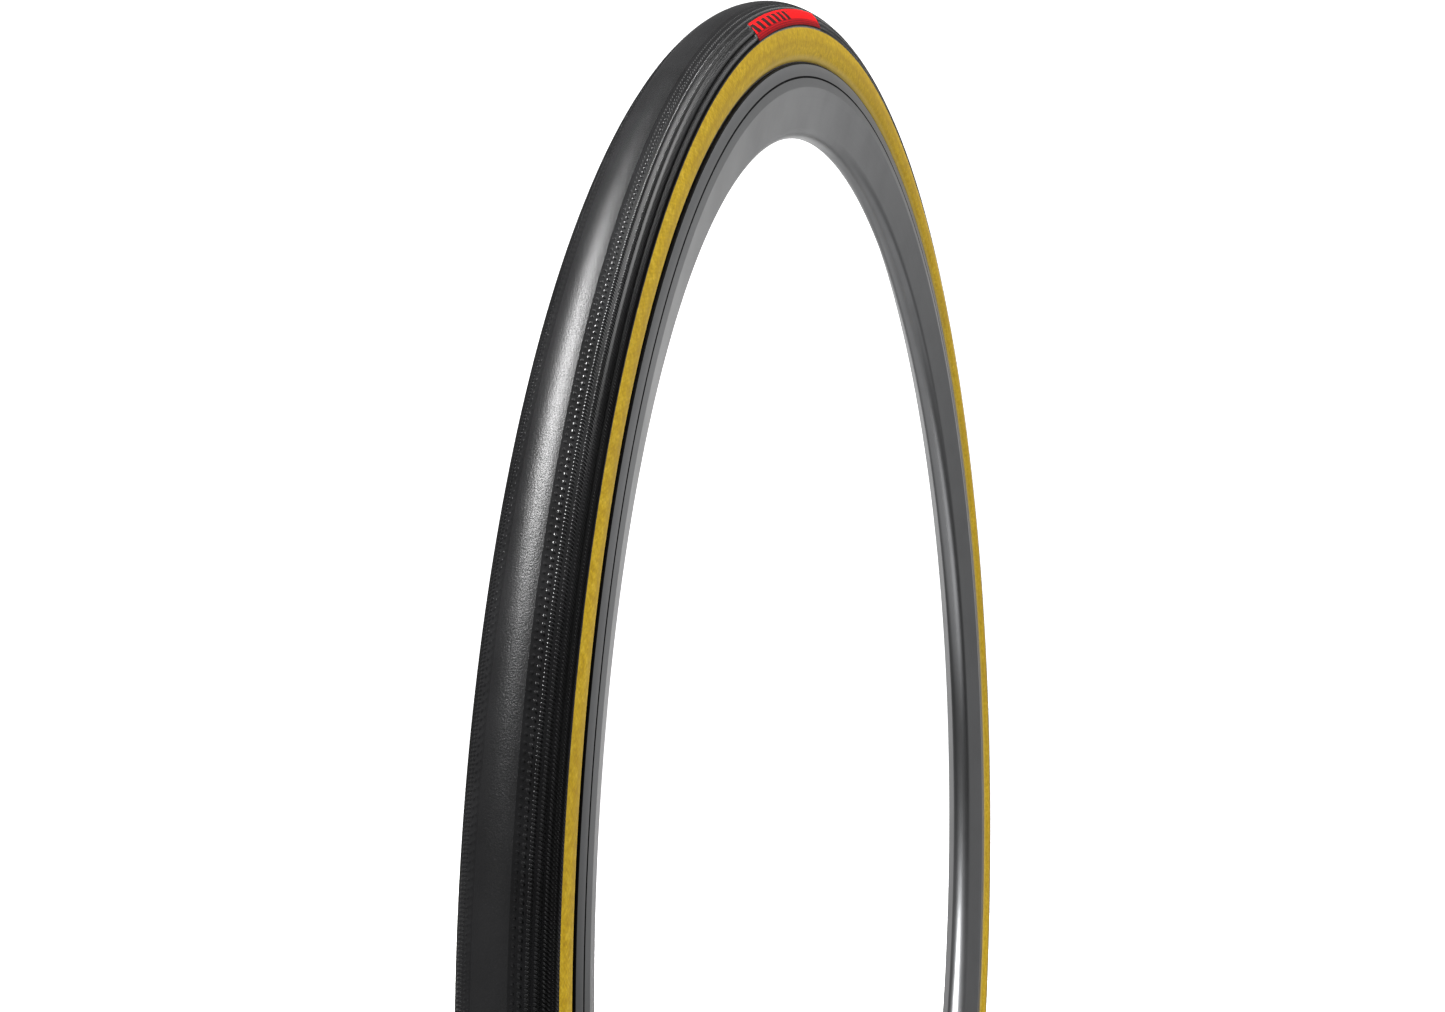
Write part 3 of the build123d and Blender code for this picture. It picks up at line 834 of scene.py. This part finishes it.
# ---------------- labels
def label_mesh(name, side):
    """A thin pressed patch with softly rounded borders."""
    along, over = 120, 24
    t = np.linspace(0, 1, along + 1)
    p = np.linspace(0, 1, over + 1)
    theta = np.radians(LABEL_FROM + (LABEL_TO - LABEL_FROM) * t)[:, None] + 0 * p[None, :]
    phi = (LABEL_IN_ANGLE + (LABEL_OUT_ANGLE - LABEL_IN_ANGLE) * p)[None, :] + 0 * t[:, None]
    border = np.minimum(np.minimum(t, 1 - t)[:, None] * along, np.minimum(p, 1 - p)[None, :] * over)
    lift = np.clip(border, 0, 1) * 0.5 + 0.5
    top = tread_point(theta, phi, -LABEL_T * lift, side).reshape(-1, 3)
    bottom = tread_point(theta, phi, LABEL_SINK, side).reshape(-1, 3)
    n = over + 1
    i, j = np.meshgrid(np.arange(along), np.arange(over), indexing="ij")
    a = (i * n + j).ravel()
    quads = np.stack([a, a + 1, a + n + 1, a + n], -1)
    half = len(top)
    low = quads[:, ::-1] + half
    edge = [(k * n, (k + 1) * n) for k in range(along)]
    edge += [((k + 1) * n + over, k * n + over) for k in range(along)]
    edge += [(k + 1, k) for k in range(over)]
    edge += [(along * n + k, along * n + k + 1) for k in range(over)]
    rim = np.array([(u, v, v + half, u + half) for u, v in edge])
    faces = np.concatenate([quads, low, rim])
    if side < 0:
        faces = faces[:, ::-1]
    obj = new_object(name, np.concatenate([top, bottom]), [faces], LABEL)
    obj.data.set_sharp_from_angle(angle=math.radians(50.0))
    return obj


for label_side, label_name in ((-1, "left"), (1, "right")):
    label = label_mesh(f"label_patch_{label_name}", label_side)
    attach(label, "root")
    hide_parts(f"label_{label_name}")


# ---------------- rim
def nose_tangent(radius, corner_w, corner_r):
    """Angle at which a straight flank from the corner meets the nose's circle, in degrees."""
    reach = math.hypot(corner_w, corner_r - NOSE_CENTRE)
    return math.degrees(math.atan2(corner_w, corner_r - NOSE_CENTRE) + math.acos(radius / reach))


def rim_outside():
    """Half the rim's outline, from the middle of its well round to its nose."""
    start = nose_tangent(NOSE_R, RIM_HALF_W, TRACK_END_R)
    soft = 0.12 * MM
    groove_floor = RIM_HALF_W - GROOVE_DEPTH
    half = [(WELL_R, 0.0), (WELL_R, WELL_HALF_W)]
    # bead seat and inner face of the flange
    half += [(SEAT_R - 0.15 * MM, SEAT_IN_W), (SEAT_R, HOOK_HALF_W + 0.1 * MM)]
    half += [(SEAT_R + 0.4 * MM, RIM_INNER_HALF_W), (HOOK_R - 0.75 * MM, RIM_INNER_HALF_W)]
    # hook and top of the flange
    half += [(HOOK_R - 0.25 * MM, HOOK_HALF_W), (HOOK_R + 0.25 * MM, HOOK_HALF_W)]
    half += [(HOOK_R + 0.75 * MM, HOOK_HALF_W + 0.35 * MM)]
    half += [(RIM_TOP_R - 0.15 * MM, HOOK_HALF_W + 0.75 * MM), (RIM_TOP_R, HOOK_HALF_W + 1.15 * MM)]
    half += [(RIM_TOP_R - 0.05 * MM, RIM_HALF_W - 0.38 * MM)]
    half += [(RIM_TOP_R - 0.22 * MM, RIM_HALF_W - 0.12 * MM), (RIM_TOP_R - 0.50 * MM, RIM_HALF_W)]
    # wear groove
    groove_top, groove_foot = GROOVE_R + GROOVE_HALF, GROOVE_R - GROOVE_HALF
    half += [(groove_top + soft, RIM_HALF_W), (groove_top, RIM_HALF_W - soft)]
    half += [(GROOVE_R + GROOVE_HALF * 0.6, groove_floor)]
    half += [(GROOVE_R - GROOVE_HALF * 0.6, groove_floor)]
    half += [(groove_foot, RIM_HALF_W - soft), (groove_foot - soft, RIM_HALF_W)]
    # lower end of the brake track
    half += [(TRACK_END_R + 0.25 * MM, RIM_HALF_W), (TRACK_END_R, RIM_HALF_W - 0.01 * MM)]
    half += [(TRACK_END_R - 0.25 * MM, RIM_HALF_W - 0.10 * MM)]
    return half + arc(NOSE_CENTRE, NOSE_R, start, 180.0, 18)


def rim_inside():
    """Half the outline of the rim's box section, from under the well to the nose."""
    radius = NOSE_R - NOSE_WALL
    start_r = TRACK_END_R - 0.2 * MM
    start = nose_tangent(radius, RIM_INNER_HALF_W, start_r)
    half = [
        (CAVITY_TOP_R, WELL_HALF_W - 0.45 * MM),
        (CAVITY_SHOULDER_R, SEAT_IN_W + 0.25 * MM),
        (CAVITY_SHOULDER_R, RIM_INNER_HALF_W - 0.35 * MM),
        (start_r, RIM_INNER_HALF_W),
    ]
    return half + arc(NOSE_CENTRE, radius, start, 180.0, 12)


def closed(half):
    """A half outline and its mirror image as one loop, without doubled middle points."""
    other = [(r, -y) for r, y in half if y > 1e-9]
    return half + other[::-1]


def rim_mesh():
    """The outer skin and the box section's inner skin as one closed solid."""
    outer = ring_mesh("rim_outer", closed(rim_outside()), RIM, RIM_SEGMENTS, 30.0)
    inner = ring_mesh("rim_inner", closed(rim_inside()), RIM, RIM_SEGMENTS // 2, 30.0)
    inner.data.flip_normals()
    bpy.ops.object.select_all(action="DESELECT")
    inner.select_set(True)
    outer.select_set(True)
    bpy.context.view_layer.objects.active = outer
    bpy.ops.object.join()
    outer.name = "rim_extrusion"
    return outer


def drill(obj, radius, z_from, z_to):
    """Cut a round hole along Z, at x = y = 0."""
    outline = [(0.0, z_from), (radius, z_from), (radius, z_to), (0.0, z_to)]
    cutter = turned("drill", outline, RIM, 40)
    modifier = obj.modifiers.new("hole", "BOOLEAN")
    modifier.operation = "DIFFERENCE"
    modifier.solver = "EXACT"
    modifier.object = cutter
    apply_modifiers(obj)
    bpy.data.objects.remove(cutter)
    cleaned = bmesh.new()     # the cut leaves slivers
    cleaned.from_mesh(obj.data)
    bmesh.ops.dissolve_degenerate(cleaned, dist=0.002 * MM, edges=cleaned.edges)
    cleaned.to_mesh(obj.data)
    cleaned.free()


def apply_modifiers(obj):
    graph = bpy.context.evaluated_depsgraph_get()
    mesh = bpy.data.meshes.new_from_object(obj.evaluated_get(graph))
    old = obj.data
    obj.modifiers.clear()
    obj.data = mesh
    bpy.data.meshes.remove(old)


# ---------------- turned pieces of the valve
def turned(name, profile, material, segments=64, shape=None, sharp=30.0):
    """Turn a profile of (radius, z) about the valve's axis; shape(radius, z, angle) may carve it.

    A profile that starts and ends off the axis is closed into a ring.
    """
    pts = np.array(profile, float)
    angle = np.arange(segments) * (2 * math.pi / segments)
    rings, verts = [], []
    for r, z in pts:
        if r < 1e-9:
            rings.append([len(verts)])
            verts.append((0.0, 0.0, z))
            continue
        radius = np.full(segments, r) if shape is None else shape(r, z, angle)
        rings.append(list(range(len(verts), len(verts) + segments)))
        verts += [(q * math.cos(a), q * math.sin(a), z) for q, a in zip(radius, angle)]
    pairs = list(zip(rings, rings[1:]))
    if len(rings[0]) > 1 and len(rings[-1]) > 1:
        pairs.append((rings[-1], rings[0]))
    tris, quads = [], []
    for ra, rb in pairs:
        if len(ra) == 1 and len(rb) == 1:
            continue
        for k in range(segments):
            k2 = (k + 1) % segments
            if len(ra) == 1:
                tris.append((ra[0], rb[k2], rb[k]))
            elif len(rb) == 1:
                tris.append((ra[k], ra[k2], rb[0]))
            else:
                quads.append((ra[k], ra[k2], rb[k2], rb[k]))
    groups = [np.array(g) for g in (tris, quads) if g]
    obj = new_object(name, verts, groups, material)
    obj.data.set_sharp_from_angle(angle=math.radians(sharp))
    return obj


def thread_shape(zones):
    """Carve helical V threads; zones are (from z, to z, pitch, depth, radius of the crests)."""

    def shape(r, z, angle):
        for z0, z1, pitch, depth, crest in zones:
            if z0 <= z <= z1 and r > crest - 1.1 * depth:
                phase = np.mod(z / pitch - angle / (2 * math.pi), 1.0)
                fade = min(1.0, (z - z0) / (0.6 * pitch), (z1 - z) / (0.6 * pitch))
                cut = np.abs(phase - 0.5) * 2
                return r - depth * fade * np.clip(cut * 1.25 - 0.1, 0, 1)
        return np.full(len(angle), r)

    return shape


rim = rim_mesh()
drill(rim, VALVE_HOLE_R, -300.0 * MM, -280.0 * MM)        # through the nose
drill(rim, VALVE_HOLE_R, -309.5 * MM, -304.0 * MM)        # through the well
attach(rim, "root")
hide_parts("rim")


def thread_points(radius, z, z_end, pitch):
    """Closely spaced points up a cylinder, for thread_shape to carve."""
    points = []
    while z < z_end:
        points.append((radius, z))
        z += pitch / STEPS_PER_PITCH
    return points


def stem_profile():
    """Foot, main thread, plain land and neck thread, bored for the core."""
    foot_top = FOOT_Z + FOOT_T
    profile = [(CORE_SEAT_R, CORE_BORE_Z), (CORE_BORE_R, CORE_BORE_Z), (CORE_BORE_R, FOOT_Z)]
    profile += [(FOOT_R, FOOT_Z), (FOOT_R, foot_top), (VALVE_R - 0.35 * MM, foot_top)]
    profile += thread_points(VALVE_R, THREAD_BASE_Z, LAND_Z - 0.05 * MM, STEM_PITCH)
    profile += [(LAND_R, LAND_Z), (LAND_R, SHOULDER_Z - 0.12 * MM)]
    profile += [(LAND_R - 0.12 * MM, SHOULDER_Z)]
    profile += thread_points(NECK_R, SHOULDER_Z + 0.06 * MM, NECK_TOP_Z - 0.2 * MM, NECK_PITCH)
    profile += [(NECK_R - 0.25 * MM, NECK_TOP_Z), (CORE_SEAT_R, NECK_TOP_Z)]
    return profile


threads = thread_shape([
    (THREAD_BASE_Z, LAND_Z, STEM_PITCH, STEM_THREAD_DEPTH, VALVE_R),
    (SHOULDER_Z, NECK_TOP_Z, NECK_PITCH, NECK_THREAD_DEPTH, NECK_R),
])
stem = turned("valve_stem_threaded", stem_profile(), BRASS, 48, threads, 45.0)
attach(stem, "root")
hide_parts("valve_stem")


def knurl_shape(teeth, depth, low, high, outer):
    """Straight V grooves round a nut, fading out at its chamfers."""

    def shape(r, z, angle):
        if r < outer - 1.5 * depth or not low <= z <= high:
            return np.full(len(angle), r)
        phase = np.mod(angle * teeth / (2 * math.pi), 1.0)
        return r - depth * (1 - np.abs(phase - 0.5) * 2) ** 1.5

    return shape


def nut(name, body, cad, bore, outer, z, height, teeth, depth):
    """A knurled round nut with chamfers, standing on z."""
    c = 0.35 * MM if height > 3 * MM else 0.2 * MM
    inner = 0.25 * MM         # chamfer of the bore
    profile = [(bore + inner, z), (outer - depth - c, z), (outer - depth, z + 0.6 * c)]
    profile += [(outer, z + c), (outer, z + height - c)]
    profile += [(outer - depth, z + height - 0.6 * c), (outer - depth - c, z + height)]
    profile += [(bore + inner, z + height), (bore, z + height - inner), (bore, z + inner)]
    shape = knurl_shape(teeth, depth, z + 0.9 * c, z + height - 0.9 * c, outer)
    obj = turned(name, profile, BRASS, 8 * teeth, shape, 35.0)
    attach(obj, body)
    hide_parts(cad)
    return obj


nut("lock_ring_knurled", "lock_ring", "rim_nut", bore=3.05 * MM, outer=6.0 * MM,
    z=-286.95 * MM, height=3.6 * MM, teeth=28, depth=0.35 * MM)
nut("tip_nut_knurled", "tip_nut", "tip_nut", bore=0.95 * MM, outer=2.1 * MM,
    z=-258.6 * MM, height=2.4 * MM, teeth=16, depth=0.22 * MM)


def cap_ribs(r, z, angle):
    """Hollows between the cap's ribs, on its straight side only."""
    if r < CAP_R - 1e-6 or not CAP_Z + 1.5 * MM <= z <= CAP_Z + 13.6 * MM:
        return np.full(len(angle), r)
    return r - CAP_RIB_DEPTH * (0.5 + 0.5 * np.cos(CAP_RIBS * angle)) ** 2


def cap_mesh():
    """Moulded cap: ribs up to a smooth dome, hollow from below."""
    profile = [(0.0, CAP_BORE_TOP_Z), (CAP_BORE_R - 0.3 * MM, CAP_BORE_TOP_Z)]
    profile += [(CAP_BORE_R, CAP_BORE_TOP_Z - 0.3 * MM), (CAP_BORE_R, CAP_Z + 0.2 * MM)]
    profile += [(CAP_BORE_R + 0.2 * MM, CAP_Z), (CAP_R - 0.2 * MM, CAP_Z)]
    profile += [(CAP_R, CAP_Z + height * MM) for height in (0.25, 1.4, 1.6, 9.0, 13.4, 13.8)]
    profile += [(CAP_R, CAP_TOP_Z - CAP_DOME)]
    for k in range(1, 9):
        a = math.pi / 2 * k / 8
        across, up = CAP_DOME * math.cos(a), CAP_DOME * math.sin(a)
        profile.append((CAP_R - CAP_DOME + across, CAP_TOP_Z - CAP_DOME + up))
    profile += [(0.0, CAP_TOP_Z)]
    obj = turned("cap_ribbed", profile, PLASTIC, 12 * CAP_RIBS, cap_ribs, 35.0)
    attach(obj, "cap")
    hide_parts("valve_cap")
    return obj


cap_mesh()


# ---------------- stage, lights and camera
def paper(name, colour, glow):
    """Pale studio paper, lit evenly enough to read as white."""
    s = Shader(name, Specular_IOR_Level=0.1, Roughness=0.9)
    grain = s.noise(3.0, 2.0, 0.5)
    shade = s.ramp(grain, (0.0, tinted(colour, 0.99)), (1.0, colour))
    s.bsdf.inputs["Emission Color"].default_value = (1.0, 1.0, 1.0, 1.0)
    s.bsdf.inputs["Emission Strength"].default_value = glow
    s.put(s.bsdf.inputs["Base Color"], shade)
    return s.material


def stage_only(obj):
    """Seen by the camera only: it throws no light and no shadow on the object."""
    obj.visible_diffuse = False
    obj.visible_glossy = False
    obj.visible_transmission = False
    obj.visible_shadow = False


def studio():
    """A pale round floor and a pale dome over it, far enough away to have no edges in view."""
    floor_z, far, steps = -TYRE_R, 14.0, 96
    angle = np.arange(steps) * 2 * math.pi / steps
    rim_points = np.stack([far * np.cos(angle), far * np.sin(angle), np.full(steps, floor_z)], -1)
    verts = np.concatenate([[(0.0, 0.0, floor_z)], rim_points])
    fan = np.array([(0, 1 + k, 1 + (k + 1) % steps) for k in range(steps)])
    floor = new_object("floor", verts, [fan], paper("studio_floor", (0.9, 0.9, 0.9), 0.95))
    stage_only(floor)
    rises = [math.radians(e) for e in range(6, 90, 6)]
    dome = [(far, floor_z)]
    dome += [(far * math.cos(e), floor_z + far * math.sin(e)) for e in rises]
    dome += [(0.0, floor_z + far)]
    obj = turned("backdrop", dome, paper("studio_backdrop", (0.9, 0.9, 0.9), 0.97), steps)
    stage_only(obj)


def softbox(name, place, target, size, power):
    """A rectangular area light of that size, aimed at the target."""
    light = bpy.data.lights.new(name, "AREA")
    light.shape = "RECTANGLE"
    light.size, light.size_y = size
    light.energy = power
    obj = bpy.data.objects.new(name, light)
    bpy.context.scene.collection.objects.link(obj)
    obj.location = place
    obj.rotation_euler = (Vector(target) - Vector(place)).to_track_quat("-Z", "Y").to_euler()
    obj.visible_camera = False
    return obj


def camera():
    """The photo's camera, from the fit to the outlines of the tyre and the rim.

    It stands at a distance and bearing from the wheel's centre, and yaw, pitch and roll turn
    it away from looking straight at the centre.
    """
    bearing, rise, distance = math.radians(-76.761), math.radians(6.165), 650.70 * MM
    yaw, pitch, roll = math.radians(4.965), math.radians(12.262), math.radians(0.265)
    place = Vector((
        distance * math.sin(bearing) * math.cos(rise),
        -distance * math.cos(bearing) * math.cos(rise),
        distance * math.sin(rise),
    ))
    heading = math.atan2(-place.y, -place.x) + yaw
    climb = math.asin(-place.z / distance) + pitch
    level = math.cos(climb)
    look = Vector((level * math.cos(heading), level * math.sin(heading), math.sin(climb)))
    right = look.cross(Vector((0, 0, 1))).normalized()
    up = right.cross(look)
    right2 = math.cos(roll) * right + math.sin(roll) * up
    up2 = -math.sin(roll) * right + math.cos(roll) * up
    data = bpy.data.cameras.new("camera")
    data.sensor_fit = "HORIZONTAL"
    data.sensor_width = 36.0
    data.lens = 37.01
    data.clip_start = 0.02
    data.clip_end = 50.0
    obj = bpy.data.objects.new("camera", data)
    bpy.context.scene.collection.objects.link(obj)
    axes = Matrix((right2, up2, -look)).transposed()
    obj.matrix_world = Matrix.Translation(place) @ axes.to_4x4()
    bpy.context.scene.camera = obj


studio()
camera()
softbox("key_front_left", (-1.15, 0.30, 1.34), (-0.3, 0.0, 0.15), (0.34, 0.9), 165.0)
softbox("side_left", (0.4, -1.8, 2.3), (0.1, 0.0, 0.05), (1.6, 1.6), 66.0)


# Light from the room: levels by bearing from +X in degrees, and by the sine of the elevation.
ROOM = [
    # The walls. The camera looks along +X: white beyond the wheel, grey to its right, black
    # elsewhere.
    ([(-180, 0.05), (-145, 0.06), (-112, 0.04), (-90, 0.03), (-66, 0.35), (-40, 0.60),
      (-24, 0.58), (-12, 1.10), (8, 1.25), (36, 1.0), (68, 0.22), (105, 0.05), (150, 0.05),
      (180, 0.07)],
     [(-1.0, 0.1), (-0.35, 0.35), (0.0, 0.9), (0.18, 1.0), (0.42, 0.36), (0.6, 0.06), (1.0, 0.05)]),
    # A big soft panel overhead, on the left side and brighter towards the camera.
    ([(-180, 0.3), (-150, 0.6), (-100, 0.9), (-65, 0.8), (-40, 0.12), (20, 0.06), (120, 0.15),
      (155, 0.2), (180, 0.3)],
     [(-1.0, 0.0), (0.26, 0.0), (0.55, 1.0), (0.9, 0.9), (1.0, 0.8)]),
    # Light thrown up by the pale floor.
    ([(-180, 0.9), (-150, 1.9), (-130, 1.9), (-105, 0.15), (-70, 0.15), (-45, 0.8), (0, 0.5),
      (90, 0.8), (180, 0.9)],
     [(-1.0, 1.0), (-0.55, 1.0), (-0.30, 0.0), (1.0, 0.0)]),
]


def room_light():
    """World light: the sum of the room's parts, each a product of its two ramps."""
    world = bpy.data.worlds.new("world")
    bpy.context.scene.world = world
    world.use_nodes = True
    w = Nodes(world.node_tree)
    direction = w.node("TexCoord").outputs["Generated"]
    x, y, z = w.node("SeparateXYZ", Vector=direction).outputs
    bearing = w.math("ARCTAN2", y, x)
    total = None
    for stops, heights in ROOM:
        stops = [(math.radians(a), level) for a, level in stops]
        turn = w.smooth_ramp(bearing, -math.pi, math.pi, stops)
        part = w.vector_math("MULTIPLY", turn, w.smooth_ramp(z, -1.0, 1.0, heights))
        total = part if total is None else w.vector_math("ADD", total, part)
    w.put(w.nodes["Background"].inputs["Color"], total)


room_light()
bpy.context.scene.view_settings.view_transform = "Standard"
